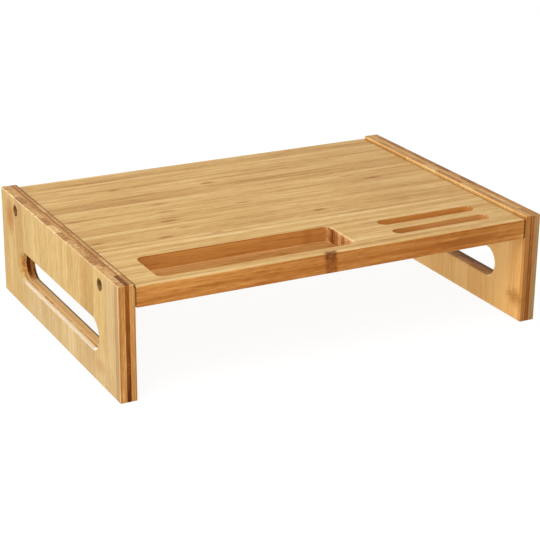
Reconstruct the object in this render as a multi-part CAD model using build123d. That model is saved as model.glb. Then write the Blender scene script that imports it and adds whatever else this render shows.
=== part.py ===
from build123d import *
import os

# Monitor stand: a shelf board bolted between two side panels. X runs left to right, Y front to rear, Z up.
# The floor is Z = 0 and the stand is centred on X and Y. All sizes are in millimetres.

# Overall size
LENGTH = 400.0
DEPTH = 280.0
HEIGHT = 100.0

# Plies of each side panel, from its outer face inwards, and the radius of the panel's edges
PLY_OUTER = 6.1
PLY_CORE = 3.6
PLY_INNER = 5.3
PANEL_EDGE_R = 1.0

# Hand slot through each side panel, with its rounded rims
HAND_LENGTH = 190.0
HAND_HEIGHT = 26.0
HAND_CENTRE_Z = 40.0
HAND_RIM_R = 3.0

# Shelf board, set a little below the panels' top edges. Its ends have rounder edges than its front and rear
BOARD_THICK = 18.0
BOARD_SET_DOWN = 2.5
BOARD_END_R = 2.0
BOARD_EDGE_R = 1.2

# Pen tray, milled into the board at its front left. It ends a width of wood before the standing slots
TRAY_TO_STAND = 43.0
TRAY_WIDTH = 48.0
TRAY_DEPTH = 14.0
TRAY_CORNER_R = 6.0
TRAY_FLOOR_R = 1.0
TRAY_FROM_END = 25.0
TRAY_FROM_FRONT = 12.4

# Two blind standing slots, milled into the board at its front right
STAND_LENGTH = 97.0
STAND_DEPTH = 12.0
STAND_FROM_END = 25.0
REAR_STAND_WIDTH = 13.0
REAR_STAND_FROM_FRONT = 47.7
FRONT_STAND_WIDTH = 11.6
FRONT_STAND_FROM_FRONT = 22.8

# Easing of the rims of the tray and the standing slots
RIM_R = 0.8

# Socket head bolt
BOLT_D = 6.0
BOLT_HEAD_D = 10.0
BOLT_HEAD_H = 6.0
BOLT_HEX = 5.0
BOLT_HEX_DEPTH = 3.0
BOLT_HEAD_CHAMFER = 0.5
BOLT_TIP_CHAMFER = 0.8
BOLT_TIP_SHORT = 0.8
BOLT_BORE_SPARE = 1.0

# Where the bolts sit: distance from the panel's front and rear, and depth of the head below the outer face
BOLT_FROM_END = 38.5
HEAD_RECESS = 2.2
COUNTERBORE_GAP = 0.2
BOLT_GAP = 0.25

# Barrel nut, standing across the bolt inside the board
NUT_D = 10.0
NUT_LENGTH = 12.0
NUT_FROM_END = 14.0
NUT_GAP = 0.1
NUT_CHAMFER = 0.5
NUT_DRIVE_WIDTH = 1.6
NUT_DRIVE_DEPTH = 2.0
THREAD_GAP = 0.05

# Wooden dowel between each panel and the board's end
DOWEL_D = 8.0
DOWEL_LENGTH = 30.0
DOWEL_IN_PANEL = 7.5
DOWEL_CHAMFER = 0.8
DOWEL_GAP = 0.05
DOWEL_END_GAP = 0.5
DOWEL_SPACING = 100.0

# Places that follow from the sizes above
PLIES = {"outer": PLY_OUTER, "core": PLY_CORE, "inner": PLY_INNER}
PANEL_THICK = sum(PLIES.values())
BOARD_LENGTH = LENGTH - 2 * PANEL_THICK
BOARD_TOP = HEIGHT - BOARD_SET_DOWN
BOARD_MID = BOARD_TOP - BOARD_THICK / 2
BOARD_BOTTOM = BOARD_TOP - BOARD_THICK
FRONT = -DEPTH / 2
TRAY_LENGTH = BOARD_LENGTH - TRAY_FROM_END - TRAY_TO_STAND - STAND_LENGTH - STAND_FROM_END
COUNTERBORE_DEPTH = HEAD_RECESS + BOLT_HEAD_H
BOLT_GRIP = PANEL_THICK - COUNTERBORE_DEPTH
BOLT_LENGTH = BOLT_GRIP + NUT_FROM_END + NUT_D / 2 - BOLT_TIP_SHORT
BOLT_BORE_DEPTH = NUT_FROM_END + NUT_D / 2 + NUT_GAP + BOLT_BORE_SPARE
NUT_TOP = BOARD_MID + NUT_LENGTH / 2
BOLT_PLACES = {"front": -DEPTH / 2 + BOLT_FROM_END, "rear": DEPTH / 2 - BOLT_FROM_END}
DOWEL_PLACES = {"front": -DOWEL_SPACING / 2, "rear": DOWEL_SPACING / 2}
SIDES = {"left": -1, "right": 1}

# Slack within which an edge counts as lying on a plane
FIND = 0.01

# How a cylinder is placed when it stands on its base
ON_BASE = (Align.CENTER, Align.CENTER, Align.MIN)


def rod(x_from, x_to, y, z, radius):
    """A cylinder along X between two planes across the stand."""
    return Pos((x_from + x_to) / 2, y, z) * Rot(0, 90, 0) * Cylinder(radius, abs(x_to - x_from))


def edges_in_box(solid, centre, size):
    """The solid's edges whose middle lies in a box, or on its faces."""
    found = []
    for edge in solid.edges():
        offset = edge.center() - Vector(*centre)
        inside = [abs(value) <= full / 2 + FIND for value, full in zip(offset, size)]
        if all(inside):
            found.append(edge)
    return found


def side_panel(side):
    """One whole side panel with its hand slot, bolt holes and dowel holes, before it is parted into plies."""
    outer = side * LENGTH / 2
    inner = outer - side * PANEL_THICK
    panel = Pos((outer + inner) / 2, 0, HEIGHT / 2) * Box(PANEL_THICK, DEPTH, HEIGHT)
    panel = fillet(panel.edges(), PANEL_EDGE_R)
    hand = Plane.YZ * Pos(0, HAND_CENTRE_Z) * SlotOverall(HAND_LENGTH, HAND_HEIGHT)
    panel -= extrude(Pos(min(outer, inner), 0, 0) * hand, PANEL_THICK)
    rims = []
    for x in (outer, inner):
        rims += edges_in_box(panel, (x, 0, HAND_CENTRE_Z), (0, HAND_LENGTH, HAND_HEIGHT))
    panel = panel.solid().fillet(HAND_RIM_R, rims)
    for y in BOLT_PLACES.values():
        seat = outer - side * COUNTERBORE_DEPTH
        panel -= rod(outer, seat, y, BOARD_MID, BOLT_HEAD_D / 2 + COUNTERBORE_GAP)
        panel -= rod(outer, inner, y, BOARD_MID, BOLT_D / 2 + BOLT_GAP)
    for y in DOWEL_PLACES.values():
        end = inner + side * (DOWEL_IN_PANEL + DOWEL_END_GAP)
        panel -= rod(inner, end, y, BOARD_MID, DOWEL_D / 2 + DOWEL_GAP)
    return panel


def ply(panel, x_from, x_to):
    """The part of a panel between two planes across the stand."""
    slab = Pos((x_from + x_to) / 2, 0, HEIGHT / 2) * Box(abs(x_to - x_from), DEPTH, HEIGHT)
    return panel & slab


def pocket(outline, x, y, depth, floor_r):
    """A milled pocket to be cut down from the board's top face."""
    cutter = extrude(outline, -depth)
    if floor_r > 0:
        cutter = fillet(cutter.edges().group_by(Axis.Z)[0], floor_r)
    return Pos(x, y, BOARD_TOP) * cutter


def ease_rim(board, x, y, length, width):
    """Rounds the rim of a pocket on the board's top face."""
    rim = edges_in_box(board, (x, y, BOARD_TOP), (length, width, 0))
    return board.solid().fillet(RIM_R, rim)


def shelf_board():
    """The board with its tray, standing slots and the holes for bolts, barrel nuts and dowels."""
    board = Pos(0, 0, BOARD_MID) * Box(BOARD_LENGTH, DEPTH, BOARD_THICK)
    board = fillet(board.edges().filter_by(Axis.Y), BOARD_END_R)
    faces = board.faces().sort_by(Axis.Y)
    board = fillet(faces[0].edges() + faces[-1].edges(), BOARD_EDGE_R)
    tray_x = -BOARD_LENGTH / 2 + TRAY_FROM_END + TRAY_LENGTH / 2
    tray_y = FRONT + TRAY_FROM_FRONT + TRAY_WIDTH / 2
    outline = RectangleRounded(TRAY_LENGTH, TRAY_WIDTH, TRAY_CORNER_R)
    board -= pocket(outline, tray_x, tray_y, TRAY_DEPTH, TRAY_FLOOR_R)
    board = ease_rim(board, tray_x, tray_y, TRAY_LENGTH, TRAY_WIDTH)
    stand_x = BOARD_LENGTH / 2 - STAND_FROM_END - STAND_LENGTH / 2
    stands = ((REAR_STAND_WIDTH, REAR_STAND_FROM_FRONT), (FRONT_STAND_WIDTH, FRONT_STAND_FROM_FRONT))
    for width, from_front in stands:
        stand_y = FRONT + from_front
        board -= pocket(SlotOverall(STAND_LENGTH, width), stand_x, stand_y, STAND_DEPTH, 0)
        board = ease_rim(board, stand_x, stand_y, STAND_LENGTH, width)
    for side in SIDES.values():
        end = side * BOARD_LENGTH / 2
        for y in BOLT_PLACES.values():
            board -= rod(end, end - side * BOLT_BORE_DEPTH, y, BOARD_MID, BOLT_D / 2 + BOLT_GAP)
            hole = Cylinder(NUT_D / 2 + NUT_GAP, NUT_TOP - BOARD_BOTTOM, align=ON_BASE)
            board -= Pos(end - side * NUT_FROM_END, y, BOARD_BOTTOM) * hole
        for y in DOWEL_PLACES.values():
            depth = DOWEL_LENGTH - DOWEL_IN_PANEL + DOWEL_END_GAP
            board -= rod(end, end - side * depth, y, BOARD_MID, DOWEL_D / 2 + DOWEL_GAP)
    return board


def bolt(side, y):
    """A socket head bolt that points from the outer face of a panel into the board."""
    head = Cylinder(BOLT_HEAD_D / 2, BOLT_HEAD_H, align=ON_BASE)
    head = chamfer(head.edges().group_by(Axis.Z)[0], BOLT_HEAD_CHAMFER)
    head -= extrude(RegularPolygon(BOLT_HEX / 2, 6, major_radius=False), BOLT_HEX_DEPTH)
    shank = Cylinder(BOLT_D / 2, BOLT_LENGTH, align=ON_BASE)
    shank = chamfer(shank.edges().group_by(Axis.Z)[-1], BOLT_TIP_CHAMFER)
    whole = head + Pos(0, 0, BOLT_HEAD_H) * shank
    return Pos(side * (LENGTH / 2 - HEAD_RECESS), y, BOARD_MID) * Rot(0, -90 * side, 0) * whole


def barrel_nut(side, y):
    """A barrel nut with its cross bore for the bolt and a screwdriver slot in its lower end."""
    nut = Cylinder(NUT_D / 2, NUT_LENGTH)
    nut = chamfer(nut.edges().filter_by(GeomType.CIRCLE), NUT_CHAMFER)
    nut -= Rot(0, 90, 0) * Cylinder(BOLT_D / 2 + THREAD_GAP, NUT_D)
    drive = Box(NUT_D, NUT_DRIVE_WIDTH, NUT_DRIVE_DEPTH)
    nut -= Pos(0, 0, -NUT_LENGTH / 2 + NUT_DRIVE_DEPTH / 2) * drive
    return Pos(side * (BOARD_LENGTH / 2 - NUT_FROM_END), y, BOARD_MID) * nut


def dowel(side, y):
    """A plain wooden dowel with chamfered ends."""
    pin = Cylinder(DOWEL_D / 2, DOWEL_LENGTH)
    pin = chamfer(pin.edges().filter_by(GeomType.CIRCLE), DOWEL_CHAMFER)
    middle = BOARD_LENGTH / 2 + DOWEL_IN_PANEL - DOWEL_LENGTH / 2
    return Pos(side * middle, y, BOARD_MID) * Rot(0, 90, 0) * pin


nodes = {"shelf_board": shelf_board()}
for name, side in SIDES.items():
    panel = side_panel(side)
    outer_face = side * LENGTH / 2
    for layer, thick in PLIES.items():
        inner_face = outer_face - side * thick
        nodes[f"{name}_{layer}_ply"] = ply(panel, outer_face, inner_face)
        outer_face = inner_face
    for place, y in BOLT_PLACES.items():
        nodes[f"bolt_{name}_{place}"] = bolt(side, y)
        nodes[f"barrel_nut_{name}_{place}"] = barrel_nut(side, y)
    for place, y in DOWEL_PLACES.items():
        nodes[f"dowel_{name}_{place}"] = dowel(side, y)

os.makedirs("parts", exist_ok=True)
for name, solid in nodes.items():
    export_step(solid, f"parts/{name}.step")
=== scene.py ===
"""Dresses the monitor stand: laminated bamboo, plated steel, a white floor and soft studio light."""

import math
from dataclasses import dataclass
from functools import reduce

import bpy
from mathutils import Matrix, Vector

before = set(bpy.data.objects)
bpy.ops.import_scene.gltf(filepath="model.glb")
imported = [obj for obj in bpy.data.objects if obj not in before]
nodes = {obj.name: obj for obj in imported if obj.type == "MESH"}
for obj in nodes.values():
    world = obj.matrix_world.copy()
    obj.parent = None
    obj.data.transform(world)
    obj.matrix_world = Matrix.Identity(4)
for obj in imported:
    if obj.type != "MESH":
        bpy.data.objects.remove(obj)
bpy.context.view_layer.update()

# Camera, solved from the straight edges of the stand in the photograph
CAMERA_AT = (-0.63577, -1.23224, 0.56096)
CAMERA_AZIMUTH = -27.491
CAMERA_ELEVATION = 20.846
CAMERA_ROLL = 0.542
CAMERA_LENS = 108.625
CAMERA_SENSOR = 36.0

# Patterns are written in millimetres, and the scene is in metres
MM = 1000.0

# Numbers of the Mix node's sockets that take and give colours
MIX_FIRST = 6
MIX_SECOND = 7
MIX_RESULT = 2


def srgb(red, green, blue):
    """A colour given as it looks on screen, from 0 to 255, as the linear values that shaders take."""
    linear = []
    for value in (red, green, blue):
        part = value / 255
        linear.append(part / 12.92 if part <= 0.04045 else ((part + 0.055) / 1.055) ** 2.4)
    return (*linear, 1.0)


class Field:
    """A number that varies over a surface. Sums of fields read as plain arithmetic."""

    def __init__(self, graph, socket):
        self.graph = graph
        self.socket = socket

    def __add__(self, other):
        return self.graph.math("ADD", self, other)

    def __sub__(self, other):
        return self.graph.math("SUBTRACT", self, other)

    def __mul__(self, other):
        return self.graph.math("MULTIPLY", self, other)

    def __truediv__(self, other):
        return self.graph.math("DIVIDE", self, other)

    def __rsub__(self, other):
        return self.graph.math("SUBTRACT", other, self)

    __radd__ = __add__
    __rmul__ = __mul__

    def floor(self):
        return self.graph.math("FLOOR", self)

    def fraction(self):
        return self.graph.math("FRACT", self)

    def size(self):
        return self.graph.math("ABSOLUTE", self)

    def most(self, other):
        return self.graph.math("MAXIMUM", self, other)

    def step(self, low, high):
        """A smooth rise from 0 at low to 1 at high, or a fall where low is the larger."""
        node = self.graph.add("MapRange", interpolation_type="SMOOTHSTEP")
        self.graph.feed(node.inputs["Value"], self)
        node.inputs["From Min"].default_value = min(low, high)
        node.inputs["From Max"].default_value = max(low, high)
        node.inputs["To Min"].default_value = float(low > high)
        node.inputs["To Max"].default_value = float(low < high)
        return Field(self.graph, node.outputs["Result"])

    def window(self, low, high, soft):
        """1 between low and high and 0 outside them, with soft edges."""
        return self.step(low - soft, low + soft) * self.step(high + soft, high - soft)


def strongest(fields):
    """At each point the largest of several fields."""
    return reduce(Field.most, fields)


class Graph:
    """One material's node tree.

    Wherever a value is due, a field, a socket or a plain number may be given.
    """

    def __init__(self, name):
        self.material = bpy.data.materials.new(name)
        self.material.use_nodes = True
        self.tree = self.material.node_tree
        self.tree.nodes.clear()
        self.coordinates = self.add("TexCoord")

    def add(self, kind, **settings):
        """A new node of the given kind."""
        node = self.tree.nodes.new("ShaderNode" + kind)
        for key, value in settings.items():
            setattr(node, key, value)
        return node

    def feed(self, socket, value):
        """Links a socket to the value, or sets it where the value is a plain number or colour."""
        if isinstance(value, Field):
            value = value.socket
        if isinstance(value, bpy.types.NodeSocket):
            self.tree.links.new(value, socket)
        else:
            socket.default_value = value

    def math(self, operation, *values):
        """A field worked out from one or two values."""
        node = self.add("Math", operation=operation)
        for socket, value in zip(node.inputs, values):
            self.feed(socket, value)
        return Field(self, node.outputs[0])

    def parts(self, vector):
        """The three coordinates of a vector."""
        node = self.add("SeparateXYZ")
        self.feed(node.inputs[0], vector)
        return [Field(self, output) for output in node.outputs]

    def vector(self, *values):
        """A vector from its three coordinates."""
        node = self.add("CombineXYZ")
        for socket, value in zip(node.inputs, values):
            self.feed(socket, value)
        return node.outputs[0]

    def length(self, *values):
        """The length of the vector with these coordinates."""
        node = self.add("VectorMath", operation="LENGTH")
        self.feed(node.inputs[0], self.vector(*values))
        return Field(self, node.outputs["Value"])

    def place(self):
        """The point on the object in millimetres, as its three coordinates."""
        return [part * MM for part in self.parts(self.coordinates.outputs["Object"])]

    def facing(self):
        """How far the surface faces along each axis, as three shares that add up to 1."""
        return [part * part for part in self.parts(self.coordinates.outputs["Normal"])]

    def noise(self, *place, detail=2.0):
        """Cloudy noise from 0 to 1, with lumps about one unit in size."""
        node = self.add("TexNoise")
        self.feed(node.inputs["Vector"], self.vector(*place))
        node.inputs["Scale"].default_value = 1.0
        node.inputs["Detail"].default_value = detail
        return Field(self, node.outputs[0])

    def random(self, number):
        """Three random values from 0 to 1 that stay the same wherever the number does."""
        node = self.add("TexWhiteNoise", noise_dimensions="1D")
        self.feed(node.inputs["W"], number)
        split = self.add("SeparateColor")
        self.feed(split.inputs[0], node.outputs["Color"])
        return [Field(self, output) for output in split.outputs]

    def cells(self, *place):
        """Distance to the nearest of many scattered points, about one unit apart."""
        node = self.add("TexVoronoi")
        self.feed(node.inputs["Vector"], self.vector(*place))
        node.inputs["Scale"].default_value = 1.0
        return Field(self, node.outputs["Distance"])

    def ramp(self, value, *stops):
        """The colour that a value has on a ramp. Each stop is a position and a colour."""
        node = self.add("ValToRGB")
        self.feed(node.inputs[0], value)
        elements = node.color_ramp.elements
        while len(elements) < len(stops):
            elements.new(1.0)
        for element, (position, colour) in zip(elements, stops):
            element.position = position
            element.color = colour
        return node.outputs[0]

    def mix(self, share, first, second):
        """The first colour with a share of the second."""
        node = self.add("Mix", data_type="RGBA")
        self.feed(node.inputs[0], share)
        self.feed(node.inputs[MIX_FIRST], first)
        self.feed(node.inputs[MIX_SECOND], second)
        return node.outputs[MIX_RESULT]

    def bump(self, height):
        """Relief, from a height in millimetres."""
        node = self.add("Bump")
        node.inputs["Distance"].default_value = 1.0 / MM
        self.feed(node.inputs["Height"], height)
        return node.outputs[0]

    def surface(self, **inputs):
        """Ends the tree in one shader. Names are its sockets with _ for a space."""
        shader = self.add("BsdfPrincipled")
        for key, value in inputs.items():
            self.feed(shader.inputs[key.replace("_", " ")], value)
        output = self.add("OutputMaterial")
        self.tree.links.new(shader.outputs[0], output.inputs[0])
        return self.material


# Bamboo tones, from the darkest to the lightest fibres, on the face, the side and the sawn end of a strip
BOARD_FACE = (srgb(160, 106, 46), srgb(207, 165, 99), srgb(235, 205, 150))
BOARD_SIDE = (srgb(124, 61, 12), srgb(165, 99, 37), srgb(208, 146, 76))
BOARD_SAWN = (srgb(128, 68, 26), srgb(190, 128, 68), srgb(238, 196, 136))
OUTER_FACE = (srgb(160, 110, 40), srgb(191, 154, 86), srgb(218, 190, 129))
INNER_FACE = (srgb(184, 124, 56), srgb(222, 170, 98), srgb(242, 204, 136))
PANEL_SIDE = (srgb(142, 84, 32), srgb(179, 122, 61), srgb(216, 168, 102))
PANEL_SAWN = (srgb(136, 84, 38), srgb(190, 140, 82), srgb(230, 194, 134))
CORE_SIDE = (srgb(80, 36, 4), srgb(146, 81, 22), srgb(206, 146, 80))
CORE_SAWN = (srgb(96, 50, 14), srgb(190, 137, 77), srgb(222, 178, 118))
BOARD_TONES = (BOARD_FACE, BOARD_SIDE, BOARD_SAWN)
OUTER_TONES = (OUTER_FACE, PANEL_SIDE, PANEL_SAWN)
INNER_TONES = (INNER_FACE, PANEL_SIDE, PANEL_SAWN)
CORE_TONES = (PANEL_SIDE, CORE_SIDE, CORE_SAWN)
DOWEL_TONES = (OUTER_FACE, OUTER_FACE, PANEL_SAWN)

# Where the dark, middle and light tones lie on a ramp
RAMP_STOPS = (0.0, 0.5, 1.0)

# Colours of marks: knots, glue lines, painted shade in joints and bores, the pale of painted highlights and
# of a haze, the olive of painted shade on the panels, and painted light on the slots' walls
KNOT_SOFT = srgb(164, 92, 24)
KNOT_WARM = srgb(168, 104, 0)
KNOT_DARK = srgb(92, 42, 8)
GLUE = srgb(124, 68, 24)
SHADOW = srgb(56, 22, 0)
EDGE_PALE = srgb(198, 180, 152)
EDGE_OLIVE = srgb(126, 131, 103)
SLOT_WARM = srgb(246, 168, 76)

# Size of the noise that makes knots ragged, across and along the fibres
RAGGED_ACROSS = 1.6
RAGGED_ALONG = 5.0

# Knots: how ragged they are and where they fade, as shares of their half size, and how much of their colour
# shows
KNOT_RAGGED = 1.2
KNOT_FADE = (1.1, 0.2)
KNOT_SHARE = 0.8

# How squarely a surface faces one axis where it is flat, and where it is most rounded
FLAT = 0.97
ROUNDED = 0.6

# Stray knots: how ragged they are, where their middle lies in a strip's width, how they fade from there,
# and the chance that a strip has one
STRAY_RAGGED = 6.0
STRAY_MIDDLE = 0.4
STRAY_FADE = (0.6, 0.1)
STRAY_CHANCE = (0.35, 0.95)

# The two lines across a knot: length and width of their waves, half their distance, half their thickness,
# and the slice of noise that they follow
LINE_WAVE = 5.0
LINE_SWAY = 9.0
LINE_APART = 1.3
LINE_HALF = 0.8
LINE_SLICE = 3.0

# Softness of the edges of lighter or darker strips, and how far strips are shifted along each other
STRIP_SOFT = 0.4
STRIP_SHIFT = 400.0

# Glue lines between strips: half width, length and width of the patches where they show, and strength
GLUE_HALF = 0.5
GLUE_LENGTH = 35.0
GLUE_WIDTH = 3.0
GLUE_SHARE = 0.4

# Dots of cut fibres on sawn ends: size and strength
DOT_SIZE = 0.9
DOT_SHARE = 0.25

# Slow drift of the tone along a strip: its length, and how far it differs from strip to strip
DRIFT_LENGTH = 130.0
DRIFT_SHIFT = 60.0
DRIFT_SPREAD = 50.0

# How much each pattern changes the tone
DRIFT_TONE = 0.55
BROAD_TONE = 1.1
DASH_TONE = 0.7
FINE_TONE = 0.5
PORE_TONE = 0.12

# Lacquer: its shine, its roughness, and how much each pattern or place adds to the roughness
SHINE = 0.1
ROUGH = 0.4
BROAD_ROUGH = 0.16
PORE_ROUGH = 0.1
END_ROUGH = 0.08
EDGE_ROUGH = -0.1
GAP_ROUGH = 0.4

# Relief in millimetres
FINE_RELIEF = 0.02
PORE_RELIEF = -0.02
GLUE_RELIEF = -0.03
KNOT_RELIEF = 0.05

# How far fibres are pushed aside at a knot
KNOT_BEND = 2.5


class Wood:
    """Coordinates and random values of laminated bamboo, and the marks that are made from them.

    axes are the numbers of the axis along the fibres, the one across the strips and the one through them.
    width is a strip's width in millimetres, and start is where one of the strips begins.
    """

    def __init__(self, name, axes, width, start, seed):
        self.graph = Graph(name)
        place = self.graph.place()
        facing = self.graph.facing()
        self.along, self.across, self.through = [place[axis] for axis in axes]
        self.to_end, self.to_side, self.to_face = [facing[axis] for axis in axes]
        count = (self.across - start) / width
        self.shade, self.shift, self.chance = self.graph.random(count.floor() + seed)
        self.inside = count.fraction()
        self.seam = (0.5 - (self.inside - 0.5).size()) * width
        lumps = (self.across / RAGGED_ACROSS, self.through / RAGGED_ACROSS, self.along / RAGGED_ALONG)
        self.ragged = self.graph.noise(*lumps) - 0.5

    def round_edge(self):
        """1 on a rounded edge, between two flat faces, and 0 on the flat."""
        flat = self.to_end.most(self.to_side).most(self.to_face)
        return flat.step(FLAT, ROUNDED)

    def stray_knots(self, pitch, half_length):
        """Soft knots at a random place in each strip, strong in some strips and absent in others."""
        from_middle = ((self.along / pitch + self.shift).fraction() - 0.5) * pitch
        reach = from_middle + self.ragged * STRAY_RAGGED
        lens = reach.size().step(half_length, 0.0) * (self.inside - STRAY_MIDDLE).size().step(*STRAY_FADE)
        return lens * self.chance.step(*STRAY_CHANCE)

    def knots(self, places):
        """Knots at given places, each a place along, a place across, two half sizes and a strength."""
        marks = []
        for along, across, half_length, half_width, strength in places:
            off_along = (self.along - along) / half_length
            off_across = (self.across - across) / half_width
            far = self.graph.length(off_along, off_across, 0.0)
            marks.append((far + self.ragged * KNOT_RAGGED).step(*KNOT_FADE) * strength)
        return strongest(marks)

    def knot_lines(self, places):
        """The pair of thin wavy lines across each of the given knots."""
        waves = self.graph.noise(self.across / LINE_WAVE, self.through / LINE_WAVE, LINE_SLICE)
        sway = waves * LINE_SWAY - LINE_SWAY / 2
        marks = []
        for along, across, _, half_width, strength in places:
            beside = (self.across - across).size().step(half_width, half_width * 0.8)
            off = ((self.along - along + sway).size() - LINE_APART).size()
            marks.append(off.step(LINE_HALF, 0.1) * beside * strength)
        return strongest(marks)

    def lift(self, strips, where):
        """How much lighter or darker given strips are, each from a place across to another by an amount."""
        total = 0.0
        for low, high, amount in strips:
            total = self.across.window(low, high, STRIP_SOFT) * where * amount + total
        return total

    def fibres(self, bend):
        """Broad streaks, short dashes, fine fibres and dark pores, pushed aside by bend where a knot is."""
        side_way = self.across + bend
        deep_way = self.through + bend
        run = self.along + self.shift * STRIP_SHIFT

        def streaks(length, width, depth, detail=2.0):
            return self.graph.noise(run / length, side_way / width, deep_way / depth, detail=detail)

        broad = streaks(length=80, width=1.7, depth=2.6, detail=3.0) - 0.5
        dashes = streaks(length=13, width=0.8, depth=0.8) - 0.5
        fine = streaks(length=7, width=0.35, depth=0.35) - 0.5
        pores = streaks(length=6, width=0.28, depth=0.28, detail=1.0).step(0.6, 0.74)
        return broad, dashes, fine, pores

    def glue_lines(self):
        """Glue lines between strips, which come and go along them and don't show on the strips' sides."""
        patches = self.graph.noise(self.along / GLUE_LENGTH, self.across / GLUE_WIDTH, 0.0)
        lines = self.seam.step(GLUE_HALF, 0.1) * patches.step(0.45, 0.68)
        return lines * self.to_side.step(0.6, 0.2)

    def cut_fibres(self):
        """Dots of cut fibres on the sawn ends."""
        dots = self.graph.cells(self.across / DOT_SIZE, self.through / DOT_SIZE, 0.0)
        return dots.step(0.45, 0.2) * self.to_end


def bamboo(wood, tones, knots, dark, gap_shade, strips, ends, grain=0.9, lift=0.0, brown=0.0, wear_and_highlight=0.22,
           pale=0.0, pale_tone=EDGE_PALE, stain=KNOT_SOFT):
    """Finishes a wood as a lacquered solid pattern.

    tones are those of its face, side and end. knots is the field of its soft knots, stain is their colour,
    and dark is the field of its darkest marks. The field after dark is 1 where shade is painted into the
    wood, in joints, bores and a hand slot's far rim; in the bores the dark is partly scorching by the drill.
    strips is how much strips differ, ends how much more they do on their sawn ends, and grain how much
    fibres differ. lift lightens or darkens chosen places, painted light and shade among them, and brown gives
    a face the tones of the side. The value after brown is how light the rounded edges are, partly wear and
    partly a painted highlight. pale is the share of one more colour, pale_tone, with which painted light,
    painted highlights, painted shade and a haze are laid on.
    """
    graph = wood.graph
    broad, dashes, fine, pores = wood.fibres(knots * wood.ragged * KNOT_BEND)
    drift_place = wood.along / DRIFT_LENGTH + wood.shift * DRIFT_SHIFT
    drift = graph.noise(drift_place, wood.shade * DRIFT_SPREAD, 0.0)
    tone = 0.5 + (wood.shade - 0.5) * strips + (drift - 0.5) * DRIFT_TONE + lift
    fibre_tone = broad * BROAD_TONE + dashes * DASH_TONE + fine * FINE_TONE - pores * PORE_TONE
    tone = tone + fibre_tone * grain
    face, side = [graph.ramp(tone, *zip(RAMP_STOPS, palette)) for palette in tones[:2]]
    end = graph.ramp(tone + (wood.shade - 0.5) * ends, *zip(RAMP_STOPS, tones[2]))
    colour = graph.mix(wood.to_side.step(0.1, 0.9).most(brown), face, side)
    colour = graph.mix(wood.to_end.step(0.1, 0.9), colour, end)

    glue = wood.glue_lines()
    rounded = wood.round_edge()
    colour = graph.mix(knots * (KNOT_SHARE + wood.ragged), colour, stain)
    colour = graph.mix(dark, colour, KNOT_DARK)
    colour = graph.mix(glue * GLUE_SHARE, colour, GLUE)
    colour = graph.mix(wood.cut_fibres() * DOT_SHARE, colour, KNOT_DARK)
    colour = graph.mix(rounded * wear_and_highlight, colour, tones[0][2])
    colour = graph.mix(pale, colour, pale_tone)
    colour = graph.mix(gap_shade, colour, SHADOW)

    rough = ROUGH + broad * BROAD_ROUGH + pores * PORE_ROUGH
    rough = rough + wood.to_end * END_ROUGH + rounded * EDGE_ROUGH + gap_shade * GAP_ROUGH
    height = fine * FINE_RELIEF + pores * PORE_RELIEF + glue * GLUE_RELIEF
    height = height + knots * wood.ragged * KNOT_RELIEF
    return graph.surface(
        Base_Color=colour,
        Roughness=rough,
        Normal=graph.bump(height),
        Specular_IOR_Level=SHINE,
    )


# Bores of the barrel nuts in the board and of the bolts in the panels, dark inside, partly scorched by the
# drill
# and partly painted shade: their places and radii, how far past their walls the dark reaches and fades, and
# how dark it is
NUT_FROM_MIDDLE = 171.0
NUT_BORE_TOP = 94.5
NUT_BORE_R = 5.1
BOLT_FROM_MIDDLE = 101.5
BOLT_HEIGHT = 88.5
BOLT_BORE_R = 5.2
BORE_SLACK = 0.05
BORE_SOFT = 0.3
BORE_DARK = 0.6


def in_bore(far, radius):
    """1 inside a bore and on its wall, from the distance to the bore's axis."""
    return far.step(radius + BORE_SOFT, radius + BORE_SLACK)


# The board: strips on edge along its length, the first of which begins a little before the front face,
# how much the strips differ, those that are lighter or darker as Wood.lift takes them, and how light its
# rounded edges are, partly wear and partly a painted highlight
BOARD_AXES = (0, 1, 2)
BOARD_STRIPS = 52
BOARD_SEED = 3.0
BOARD_FRONT = -140.0
BOARD_DEPTH = 280.0
BOARD_TOP = 97.5
STRIP_SPARE = 0.1
BOARD_STRIP_TONE = 0.26
TOP_STRIPS = ((-62, -57, 0.2), (44, 78, -0.06))
BOARD_WEAR_AND_HIGHLIGHT = 0.1

# Knots where the photograph shows them, on the board's top and in its tray, as Wood.knots takes them,
# and how dark the strongest of them are
TOP_KNOTS = (
    (-109, 92, 8, 2.6, 0.7),
    (-22, 75, 11, 2.6, 0.85),
    (-87, 38, 13, 2.2, 0.7),
    (-174, 24, 10, 2.8, 0.6),
    (106, 38, 13, 2.4, 0.5),
    (124, 23, 13, 2.6, 0.85),
    (-90, 16, 16, 3.0, 0.5),
    (-18, 10, 10, 1.9, 0.7),
    (-95, -1, 15, 3.4, 0.4),
    (-98, -8, 14, 2.4, 0.85),
    (-90, -29, 14, 2.4, 0.5),
    (34, -38, 10, 2.8, 0.8),
    (-117, -45, 10, 2.8, 0.75),
    (-72, -52, 9, 2.6, 0.5),
    (-176, -36, 9, 2.6, 0.7),
    (119, -45, 10, 2.8, 0.4),
)
TRAY_KNOTS = ((0, -80, 7, 3, 0.3), (-30, -91, 12, 3, 0.5))
TOP_KNOT_DARK = 0.55

# Stray knots on all strips but the outermost two: their pitch, half length and strength
BOARD_STRAY_PITCH = 620.0
BOARD_STRAY_HALF = 9.0
BOARD_STRAY_SHARE = 0.3

# The knot that crosses the front edge: its place, how far behind the front it fades, how far it bends,
# and the length of its bends in height and depth with their slice of noise
FRONT_KNOT_X = -10.0
FRONT_KNOT_FADE = (6.0, 2.0)
FRONT_KNOT_BEND = 5.0
BEND_UP = 5.0
BEND_BACK = 9.0
BEND_SLICE = 1.7

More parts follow.
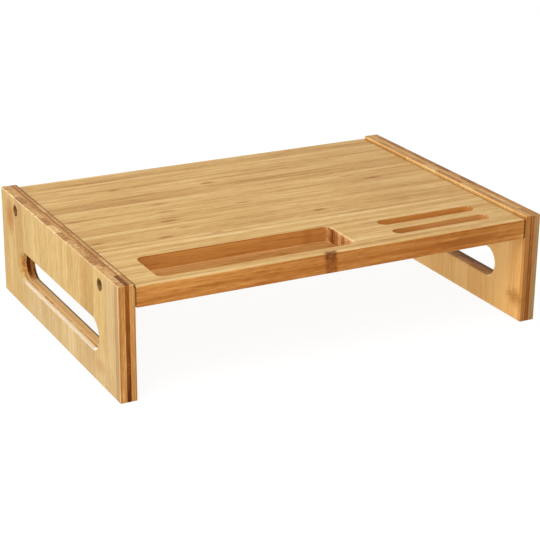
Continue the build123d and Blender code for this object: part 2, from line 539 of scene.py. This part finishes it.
# Its soft part: where it fades, and its strength. Its hard part: where it fades, its least strength, and how
# much its specks and its upper end add to that
SOFT_FADE = (9.0, 4.0)
SOFT_SHARE = 0.6
HARD_FADE = (6.8, 3.6)
HARD_SHARE = 0.28
SPECK_WIDTH = 2.4
SPECK_HEIGHT = 2.0
SPECK_SHARE = 0.35
UPPER_END = (87, 97)
UPPER_SHARE = 0.3

# Places along the board between which it turns brown at its right end, and between which painted shade
# darkens its two joints. The right joint's painted shade is darker in front than on top
RIGHT_END_BROWN = (181.8, 183.0)
RIGHT_JOINT = (182.4, 183.2)
LEFT_JOINT = (-184.0, -184.6)
JOINT_DARK = 0.9
RIGHT_JOINT_TOP = 0.37
RIGHT_JOINT_SIDE = 0.55

# Milled pockets: the height of the tray's floor, the height of their rounded rims, and how far behind the
# board's front and rear faces they may begin
POCKET_FLOOR = 83.5
POCKET_RIM = 0.9
FACE_SKIN = (1.5, 2.5)

# Places between the tray and the slots, between the two slots, and along the front slot from its painted
# shade to its painted light
BEFORE_SLOTS = (50, 55)
BETWEEN_SLOTS = (-104, -106)
FRONT_SLOT_LIT = (70, 105)

# Heights between which painted light lightens the pockets' walls, and between which the slots' walls take a
# warm painted light
WALL_LIGHT = (86, 97)
WALL_GLOW = (88, 96)
GLOW_SHARE = 0.26

# The tray's right end: its place, the dark part of its wall, and its rim with a painted highlight, along,
# across and in height
TRAY_END = (10, 30)
TRAY_END_DARK = (-88, -80)
TRAY_RIM = (19.8, 21.2)
TRAY_RIM_ACROSS = (-124, -83)
TRAY_RIM_HEIGHT = (95, 97)

# How much lighter the pockets are than the board's top, with painted light on their walls: all walls, walls
# of the slots, their upper part, the painted light and the painted shade of the front slot, ends, floors, and
# the tray's dark part and the painted highlight on its rim
WALL_LIFT = 0.5
SLOT_LIFT = 0.35
UPPER_LIFT = 0.45
LIT_LIFT = 0.4
SHADED_LIFT = -0.75
END_LIFT = 0.1
FLOOR_LIFT = 0.16
TRAY_DARK_LIFT = -0.6
TRAY_RIM_LIFT = 0.35

# The front slot's wall under painted light takes this share of the face's tones
LIT_FACE = 0.35

# Brown of the pockets' floors, and of the top as it comes near the right panel
FLOOR_BROWN = 0.75
RIGHT_BROWN = 0.12
RIGHT_BROWN_ALONG = (20, 170)

# How much more strips differ on the board's sawn ends, and how much less of that there is in the slots
BOARD_END_TONE = 0.7
SLOT_END_TONE = 0.6


def front_knot(wood):
    """The soft and the dark part of the mottled knot that crosses the board's front edge."""
    graph = wood.graph
    waves = graph.noise(wood.through / BEND_UP, wood.across / BEND_BACK, BEND_SLICE)
    bend = waves * FRONT_KNOT_BEND - FRONT_KNOT_BEND / 2
    off = (wood.along - FRONT_KNOT_X + bend).size()
    speck_place = (wood.along / SPECK_WIDTH, wood.through / SPECK_HEIGHT, wood.across / SPECK_WIDTH)
    specks = graph.noise(*speck_place, detail=3.0).step(0.34, 0.66)
    near_front = wood.across.step(*[BOARD_FRONT + behind for behind in FRONT_KNOT_FADE])
    soft = off.step(*SOFT_FADE) * near_front
    mottled = specks * SPECK_SHARE + wood.through.step(*UPPER_END) * UPPER_SHARE + HARD_SHARE
    hard = off.step(*HARD_FADE) * near_front * mottled
    return soft * SOFT_SHARE, hard


def board_marks(wood, width):
    """The board's soft knots with the brown at its right end, and its darkest marks."""
    inner_edge = BOARD_DEPTH / 2 - width
    inner_strips = wood.across.size().step(inner_edge, inner_edge - STRIP_SPARE)
    stray = wood.stray_knots(BOARD_STRAY_PITCH, BOARD_STRAY_HALF) * inner_strips * BOARD_STRAY_SHARE
    top_knots = wood.knots((*TOP_KNOTS, *TRAY_KNOTS)).most(stray)
    soft, hard = front_knot(wood)
    right_end_brown = wood.along.step(*RIGHT_END_BROWN) * wood.to_side.step(0.9, 0.5)
    knots = top_knots.most(soft).most(right_end_brown)
    dark = (top_knots * top_knots * TOP_KNOT_DARK).most(hard)
    return knots, dark


def board_gap_shade(wood):
    """Where shade is painted dark onto the board: in the joints at its ends, and in the barrel nuts' bores,
    partly as scorching by the drill.
    """
    right_end = wood.along.step(*RIGHT_JOINT) * (wood.to_side * RIGHT_JOINT_SIDE + RIGHT_JOINT_TOP)
    joint = right_end.most(wood.along.step(*LEFT_JOINT)) * JOINT_DARK
    off_along = wood.along.size() - NUT_FROM_MIDDLE
    off_across = wood.across.size() - BOLT_FROM_MIDDLE
    bore = in_bore(wood.graph.length(off_along, off_across, 0.0), NUT_BORE_R)
    bore = bore * wood.through.step(NUT_BORE_TOP + 1, NUT_BORE_TOP)
    return joint.most(bore * BORE_DARK)


def board_bamboo():
    """The board's bamboo, with its knots, browner milled pockets with painted light on their walls, and
    painted shade in the joints at its ends.
    """
    width = BOARD_DEPTH / BOARD_STRIPS
    wood = Wood("board_bamboo", BOARD_AXES, width, BOARD_FRONT - STRIP_SPARE, BOARD_SEED)
    knots, dark = board_marks(wood, width)

    # Milled pockets, with the two slots at the right and the part of the front one under painted light and
    # the part under painted shade
    inset = wood.across.size().step(*[BOARD_DEPTH / 2 - skin for skin in FACE_SKIN])
    milled = wood.through.window(POCKET_FLOOR - 1, BOARD_TOP - POCKET_RIM, soft=0.4) * inset
    in_slots = wood.along.step(*BEFORE_SLOTS)
    front_slot = wood.across.step(*BETWEEN_SLOTS)
    lit = front_slot * wood.along.step(*FRONT_SLOT_LIT)
    shaded = front_slot - lit

    # The slots' ends have the tones of their walls
    slot_ends = milled * in_slots * wood.to_end
    wood.to_side = (wood.to_side + slot_ends) * (1.0 - milled * lit * LIT_FACE)
    wood.to_end = wood.to_end - slot_ends

    # Painted light on the walls, most of all in the slots, and the tray's right end with its dark part and a
    # painted highlight on its rim
    upper = wood.through.step(*WALL_LIGHT) * UPPER_LIFT + lit * LIT_LIFT + shaded * SHADED_LIFT
    side_walls = wood.to_side * (in_slots * (upper + SLOT_LIFT) + WALL_LIFT)
    walls = milled * (side_walls + wood.to_end * END_LIFT)
    floor = milled * wood.to_face
    tray_end = milled * wood.to_end * wood.along.window(*TRAY_END, soft=2)
    tray_dark = wood.across.window(*TRAY_END_DARK, soft=1) * tray_end
    rim_highlight = wood.along.window(*TRAY_RIM, soft=0.3) * wood.across.window(*TRAY_RIM_ACROSS, soft=1)
    rim_highlight = rim_highlight * wood.through.step(*TRAY_RIM_HEIGHT)
    lift = wood.lift(TOP_STRIPS, 1.0) + walls + floor * FLOOR_LIFT
    lift = lift + tray_dark * TRAY_DARK_LIFT + rim_highlight * TRAY_RIM_LIFT

    # Warm painted light on the slots' upper walls, none on the front slot's shaded part
    glow = milled * in_slots * wood.to_side * wood.through.step(*WALL_GLOW)
    return bamboo(
        wood,
        BOARD_TONES,
        knots,
        dark,
        gap_shade=board_gap_shade(wood),
        strips=BOARD_STRIP_TONE,
        ends=BOARD_END_TONE - in_slots * SLOT_END_TONE,
        lift=lift,
        brown=(floor * FLOOR_BROWN).most(wood.along.step(*RIGHT_BROWN_ALONG) * RIGHT_BROWN),
        wear_and_highlight=wood.to_face.step(0.02, 0.12) * BOARD_WEAR_AND_HIGHLIGHT,
        pale=glow * (GLOW_SHARE - shaded * GLOW_SHARE),
        pale_tone=SLOT_WARM,
    )


@dataclass
class PlyLook:
    """How one layer of a side panel looks. An amount of light is below 0 where the layer is darker."""

    # Tones of its face, side and sawn end, the place of a strip joint, and knots as Wood.knots takes them
    tones: tuple
    joint: float
    knots: tuple
    # The core layer's front strip is darker
    core: bool = False
    # How much its fibres differ, the colour of its soft knots, and how dark the lines across its knots are
    grain: float = 0.9
    stain: tuple = KNOT_WARM
    lines: float = 0.0
    # How dark the glue line is between the core and the inner layer: on front and rear, and on the top edge
    glue: float = 0.0
    seam: float = 0.0
    # Lighter or darker strips, on the face and on the top edge, as Wood.lift takes them
    face_strips: tuple = ()
    top_strips: tuple = ()
    # Light on front and rear: overall, by each millimetre of height, and painted shade along the left panel's
    # inner edge
    side: float = 0.0
    fall: float = 0.0
    inner_edge: float = 0.0
    # Light on the top edge, and painted shade on the face along the line where it meets the board's top
    top: float = 0.0
    foot: float = 0.0
    # Painted light in the hand slot, and painted shade below 0: on its floor and roof, at its ends, and
    # painted shade along the left panel's outer rim
    slot: float = 0.0
    slot_end: float = 0.0
    rim_line: float = 0.0
    # Pale share of a haze on the face and of a painted highlight on the hand slot's lower rim, and olive
    # share of front and rear, a painted shade
    haze: float = 0.0
    slot_pale: float = 0.0
    olive_shade: float = 0.0
    # How light its rounded edges are, partly wear and partly a painted highlight
    wear_and_highlight: float = 0.1
    # Places through the panel between which painted shade darkens the hand slot's far rim, and how dark it
    # gets
    far_rim: tuple = ()
    far_rim_dark: float = 0.0
    # How dark the painted shade is in the line along the board's left end
    board_line: float = 0.0


# The layers of the two panels, from the left to the right
PLIES = {
    "left_outer_ply": PlyLook(
        tones=OUTER_TONES,
        joint=-2.0,
        knots=((79, 117, 23, 14, 1.1), (16, -99, 9, 14, 0.6), (84, -64, 26, 13, 0.3)),
        grain=1.3,
        face_strips=((-138.6, -132.2, -0.5), (-132.2, -110, -0.08)),
        top_strips=((-23, -2, -0.25), (-2, 19, 0.2), (19, 40, -0.25)),
        slot=0.75,
        slot_end=0.2,
        rim_line=-0.6,
        haze=0.2,
        slot_pale=0.85,
        wear_and_highlight=0.5,
    ),
    "left_core_ply": PlyLook(
        tones=CORE_TONES,
        joint=-116.2,
        knots=((29, -140, 7, 8, 0.35),),
        core=True,
        grain=0.8,
        stain=KNOT_SOFT,
        lines=2.4,
        seam=0.8,
        fall=0.0067,
        slot=0.55,
        slot_end=-0.5,
    ),
    "left_inner_ply": PlyLook(
        tones=INNER_TONES,
        joint=-116.0,
        knots=((64, 20, 10, 11, 0.3),),
        seam=0.8,
        top_strips=((-116, -95, 0.12), (-31, -10, 0.2)),
        side=0.25,
        inner_edge=-0.4,
        slot=0.6,
        slot_end=-0.55,
        wear_and_highlight=0.5,
        far_rim=(-188.6, -187.4),
        far_rim_dark=0.7,
        board_line=0.75,
    ),
    "right_inner_ply": PlyLook(
        tones=INNER_TONES,
        joint=-119.0,
        knots=((21, -130, 11, 15, 0.75),),
        grain=0.65,
        lines=0.4,
        glue=0.7,
        # Lighter from the second strip back: painted light where the board above shades the face
        face_strips=((-141, -136.5, -0.4), (-136.5, -119, -0.05), (-119, -55, 0.25), (-55, 60, 0.32)),
        side=-0.25,
        foot=-0.35,
        slot=0.05,
        wear_and_highlight=0.0,
    ),
    "right_core_ply": PlyLook(
        tones=CORE_TONES,
        joint=-118.0,
        knots=((58, -140, 6, 8, 0.4),),
        core=True,
        grain=0.8,
        stain=KNOT_SOFT,
        lines=0.3,
        glue=0.6,
        side=0.12,
        top=0.2,
        slot=-0.1,
    ),
    "right_outer_ply": PlyLook(
        tones=OUTER_TONES,
        joint=-126.0,
        knots=((30, 84, 11, 12, 0.4), (72, -70, 9, 12, 0.3)),
        side=-0.05,
        top=-0.2,
        slot=-0.5,
        olive_shade=0.3,
        far_rim=(196.4, 197.8),
        far_rim_dark=0.75,
    ),
}

# The panels: wide upright strips, counted from a joint before the front, how far apart the seeds of two
# layers are, how much strips differ, and how much more they do on the top edge
PLY_AXES = (2, 1, 0)
PLY_STRIP = 21.25
PLY_STRIPS_BEFORE = 8
PLY_SEEDS_APART = 17.0
PLY_STRIP_TONE = 0.2
PLY_END_TONE = 0.2

# Stray knots on the panels: their pitch, half length and strength
PLY_STRAY_PITCH = 420.0
PLY_STRAY_HALF = 8.0
PLY_STRAY_SHARE = 0.1

# Where the inner and core layers meet, measured from the stand's middle, how the glue line there fades,
# and the dark share of it
CORE_INNER = 190.3
SEAM_FADE = (0.9, 0.3)
SEAM_DARK = 0.6

# Heights between which the panel's top begins, and the height from which light changes up and down
TOP_EDGE = (60, 95)
FALL_MIDDLE = 64.0

# The hand slot: heights and half length around it, and how the painted light and shade on its floor and roof
# fade towards its ends
SLOT_LOW = 22.0
SLOT_HIGH = 58.0
SLOT_END = 100.0
SLOT_END_SOFT = 4.0
SLOT_SHADE = (78, 93)
SLOT_SHADE_SHARE = 0.7

# Places of painted shade: the left panel's inner edge, its hand slot's outer rim, and where a panel's face
# meets the board's top
INNER_EDGE = (-187.0, -185.8)
OUTER_RIM = (-197.1, -195.4)
FOOT_LINE = (97.4, 98.6)

# The line of painted shade along the board's left end, through the panel and in height
BOARD_LINE = (-187.0, -186.0)
BOARD_LINE_HEIGHT = (96.0, 97.0)

# The hand slot's lower rim, pale with a painted highlight, in height and across
LOW_RIM = (36, 30)
LOW_RIM_ACROSS = (92, 82)

# The haze on the left face: low down on all but its rear, and along its front
HAZE_HEIGHT = (50, 10)
HAZE_ACROSS = (105, 60)
HAZE_FRONT = (-108, -116)

# The core's dark front strip: how soft its edge is, and its light on all sides, on top and in front
FRONT_STRIP_SOFT = 0.3
FRONT_STRIP_LIFT = -0.1
FRONT_STRIP_TOP = -0.3
FRONT_STRIP_SIDE = -0.05


def ply_gap_shade(wood, look):
    """Where shade is painted dark onto a layer: in the bolts' bores, partly as scorching by the drill, along
    the board's left end and on a hand slot's far rim.

    Only the layers whose look says so have the last two.
    """
    far = wood.graph.length(wood.across.size() - BOLT_FROM_MIDDLE, wood.along - BOLT_HEIGHT, 0.0)
    gap_shade = in_bore(far, BOLT_BORE_R) * BORE_DARK
    if look.board_line:
        line = wood.through.step(*BOARD_LINE) * wood.along.step(*BOARD_LINE_HEIGHT)
        gap_shade = gap_shade.most(line * look.board_line)
    if look.far_rim:
        in_slot = wood.along.window(SLOT_LOW, SLOT_HIGH, soft=1) * wood.to_end.step(0.05, 0.3)
        gap_shade = gap_shade.most(wood.through.step(*look.far_rim) * in_slot * look.far_rim_dark)
    return gap_shade


def ply_marks(wood, look, on_top):
    """A layer's soft knots and its darkest marks, with the glue line beside the core."""
    glue = (wood.through.size() - CORE_INNER).size().step(*SEAM_FADE)
    seam = glue * on_top * wood.to_end * look.seam
    stray = wood.stray_knots(PLY_STRAY_PITCH, PLY_STRAY_HALF) * PLY_STRAY_SHARE
    knots = wood.knots(look.knots).most(stray).most(seam)
    dark = wood.knot_lines(look.knots) * look.lines
    dark = dark.most(glue * wood.to_side * look.glue).most(seam * SEAM_DARK)
    return knots, dark


def ply_lift(wood, look, in_slot, on_top):
    """How much lighter or darker a layer is at each place, with painted light and shade in the hand slot, and
    painted shade along the left panel's inner edge, the hand slot's outer rim and the line where a face meets
    the board.
    """
    near_end = wood.across.size().step(*SLOT_SHADE)
    lights = [
        wood.to_end * in_slot * (1.0 - near_end * SLOT_SHADE_SHARE) * look.slot,
        wood.to_end * on_top * look.top,
        wood.to_side * look.side,
        in_slot * near_end * (1.0 - wood.to_face) * look.slot_end,
        wood.to_side * (wood.along - FALL_MIDDLE) * look.fall,
        wood.to_side * wood.through.step(*INNER_EDGE) * look.inner_edge,
        wood.lift(look.face_strips, wood.to_face),
        wood.lift(look.top_strips, wood.to_end * on_top),
        wood.to_end * in_slot * wood.through.window(*OUTER_RIM, soft=0.4) * look.rim_line,
        wood.to_face * wood.along.window(*FOOT_LINE, soft=0.5) * look.foot,
    ]
    if look.core:
        strip = wood.across.step(look.joint + FRONT_STRIP_SOFT, look.joint - FRONT_STRIP_SOFT)
        amount = wood.to_end * FRONT_STRIP_TOP + wood.to_side * FRONT_STRIP_SIDE + FRONT_STRIP_LIFT
        lights.append(strip * amount)
    return sum(lights)


def ply_pale(wood, look, in_slot):
    """Share of the pale colour: a painted highlight on the hand slot's lower rim, and the haze; and of the
    olive painted shade on the sides.
    """
    level_edge = wood.to_end.step(0.01, 0.12) * wood.to_face.step(0.01, 0.12)
    low_rim = in_slot * wood.along.step(*LOW_RIM) * wood.across.step(*LOW_RIM_ACROSS)
    low = wood.along.step(*HAZE_HEIGHT) * wood.across.step(*HAZE_ACROSS)
    haze = wood.to_face * low.most(wood.across.step(*HAZE_FRONT))
    return level_edge * low_rim * look.slot_pale + haze * look.haze + wood.to_side * look.olive_shade


def ply_bamboo(name, look, seed):
    """A panel layer's bamboo."""
    start = look.joint - PLY_STRIPS_BEFORE * PLY_STRIP
    wood = Wood(name, PLY_AXES, PLY_STRIP, start, seed)
    in_slot = wood.along.window(SLOT_LOW, SLOT_HIGH, soft=1)
    in_slot = in_slot * wood.across.size().step(SLOT_END + SLOT_END_SOFT, SLOT_END)
    on_top = wood.along.step(*TOP_EDGE)
    knots, dark = ply_marks(wood, look, on_top)
    return bamboo(
        wood,
        look.tones,
        knots,
        dark,
        gap_shade=ply_gap_shade(wood, look),
        strips=PLY_STRIP_TONE,
        ends=on_top * PLY_END_TONE,
        grain=look.grain,
        lift=ply_lift(wood, look, in_slot, on_top),
        wear_and_highlight=(1.0 - in_slot) * look.wear_and_highlight,
        pale=ply_pale(wood, look, in_slot),
        pale_tone=EDGE_OLIVE if look.olive_shade else EDGE_PALE,
        stain=look.stain,
    )


# The dowels: each lies within one wide strip
DOWEL_STRIP = 60.0
DOWEL_SEED = 5.0


def dowel_wood():
    """Raw pale wood with fine fibres along the dowel."""
    wood = Wood("dowel_wood", BOARD_AXES, DOWEL_STRIP, -DOWEL_STRIP / 2, DOWEL_SEED)
    none = wood.across * 0.0
    return bamboo(wood, DOWEL_TONES, none, none, none, strips=0.1, ends=0.1, grain=0.6)


# Plated steel: light and dull tones, size of the dull spots and of the turning marks, roughness and relief
BOLT_LIGHT = srgb(196, 196, 194)
BOLT_DULL = srgb(160, 160, 158)
NUT_LIGHT = srgb(190, 188, 180)
NUT_DULL = srgb(150, 148, 142)
SPOT_SIZE = 0.9
MARK_LENGTH = 4.0
MARK_WIDTH = 0.12
STEEL_ROUGH = 0.26
SPOT_ROUGH = 0.2
MARK_ROUGH = 0.1
MARK_RELIEF = 0.006


def steel(name, light, dull):
    """Plated steel with turning marks and a few dull spots."""
    graph = Graph(name)
    x, y, z = graph.place()
    spots = graph.noise(x / SPOT_SIZE, y / SPOT_SIZE, z / SPOT_SIZE, detail=3.0)
    marks = graph.noise(x / MARK_LENGTH, y / MARK_WIDTH, z / MARK_WIDTH)
    return graph.surface(
        Base_Color=graph.ramp(spots, (0.3, dull), (0.7, light)),
        Metallic=1.0,
        Roughness=STEEL_ROUGH + (spots - 0.5) * SPOT_ROUGH + (marks - 0.5) * MARK_ROUGH,
        Normal=graph.bump(marks * MARK_RELIEF),
    )


def dress(name, material):
    """Gives a CAD node one material."""
    mesh = nodes[name].data
    mesh.materials.clear()
    mesh.materials.append(material)


dress("shelf_board", board_bamboo())
for number, (name, look) in enumerate(PLIES.items()):
    dress(name, ply_bamboo(name, look, PLY_SEEDS_APART * number))

bolt_steel = steel("bolt_steel", BOLT_LIGHT, BOLT_DULL)
nut_steel = steel("nut_steel", NUT_LIGHT, NUT_DULL)
raw_dowel = dowel_wood()
for name in nodes:
    if name.startswith("bolt_"):
        dress(name, bolt_steel)
    if name.startswith("barrel_nut_"):
        dress(name, nut_steel)
    if name.startswith("dowel_"):
        dress(name, raw_dowel)

# The floor: its size and how far it lies below the stand in metres, the white that lights the stand from
# below, and the duller white and the glow that are seen
FLOOR_SIZE = 60.0
FLOOR_DROP = 0.0002
FLOOR_WHITE = (0.88, 0.88, 0.88, 1)
FLOOR_DULL = (0.11, 0.11, 0.11, 1)
FLOOR_GLOW = 0.92

# The sky, and lamps with their place, width and height in metres and their power in watts
SKY_WHITE = (1, 1, 1, 1)
SKY_STRENGTH = 0.66
LAMPS = {
    "key_light": ((-0.95, -0.7, 1.45), 1.0, 1.0, 15.0),
    "rear_light": ((-0.55, 1.6, 0.95), 0.9, 0.9, 8.0),
    "low_light": ((-1.2, -1.05, 0.16), 1.0, 0.3, 6.0),
    "low_rear_light": ((-0.35, 1.4, 0.12), 0.8, 0.2, 10.0),
}
LAMPS_AIM = Vector((0, 0, 0.05))


def studio_floor():
    """A white floor that shows the camera a plain white with a faint shadow."""
    bpy.ops.mesh.primitive_plane_add(size=FLOOR_SIZE, location=(0, 0, -FLOOR_DROP))
    floor = bpy.context.object
    floor.name = "floor"
    graph = Graph("floor_white")
    rays = graph.add("LightPath").outputs
    seen = graph.math("MAXIMUM", rays["Is Camera Ray"], rays["Is Glossy Ray"])
    seen = seen.most(rays["Is Transmission Ray"])
    plain = graph.add("BsdfDiffuse")
    plain.inputs["Color"].default_value = FLOOR_WHITE
    dull = graph.add("BsdfDiffuse")
    dull.inputs["Color"].default_value = FLOOR_DULL
    glow = graph.add("Emission")
    glow.inputs["Strength"].default_value = FLOOR_GLOW
    both = graph.add("AddShader")
    graph.feed(both.inputs[0], dull.outputs[0])
    graph.feed(both.inputs[1], glow.outputs[0])
    mixed = graph.add("MixShader")
    graph.feed(mixed.inputs[0], seen)
    graph.feed(mixed.inputs[1], plain.outputs[0])
    graph.feed(mixed.inputs[2], both.outputs[0])
    output = graph.add("OutputMaterial")
    graph.feed(output.inputs[0], mixed.outputs[0])
    floor.data.materials.append(graph.material)


def studio_world():
    """An even white sky, which the floor hides from the photograph's view."""
    world = bpy.data.worlds.new("studio")
    bpy.context.scene.world = world
    world.use_nodes = True
    background = world.node_tree.nodes["Background"]
    background.inputs["Color"].default_value = SKY_WHITE
    background.inputs["Strength"].default_value = SKY_STRENGTH


def softbox(name, place, width, height, power):
    """A lamp that faces the stand, and that no camera sees."""
    lamp = bpy.data.lights.new(name, "AREA")
    lamp.shape = "RECTANGLE"
    lamp.size = width
    lamp.size_y = height
    lamp.energy = power
    box = bpy.data.objects.new(name, lamp)
    box.location = place
    box.rotation_euler = (LAMPS_AIM - Vector(place)).to_track_quat("-Z", "Y").to_euler()
    box.visible_camera = False
    bpy.context.scene.collection.objects.link(box)


def photo_camera():
    """The photograph's own viewpoint."""
    angles = (CAMERA_AZIMUTH, CAMERA_ELEVATION, CAMERA_ROLL)
    azimuth, elevation, roll = [math.radians(angle) for angle in angles]
    level = math.cos(elevation)
    back = Vector((math.sin(azimuth) * level, -math.cos(azimuth) * level, math.sin(elevation)))
    right = (-back).cross(Vector((0, 0, 1))).normalized()
    up = right.cross(-back)
    turned_right = math.cos(roll) * right + math.sin(roll) * up
    turned_up = math.cos(roll) * up - math.sin(roll) * right
    data = bpy.data.cameras.new("photo_camera")
    data.sensor_width = CAMERA_SENSOR
    data.lens = CAMERA_LENS
    camera = bpy.data.objects.new("photo_camera", data)
    axes = Matrix((turned_right, turned_up, back)).transposed()
    camera.matrix_world = Matrix.Translation(CAMERA_AT) @ axes.to_4x4()
    bpy.context.scene.collection.objects.link(camera)
    bpy.context.scene.camera = camera


studio_floor()
studio_world()
for name, lamp in LAMPS.items():
    softbox(name, *lamp)
photo_camera()
bpy.context.scene.view_settings.view_transform = "Standard"
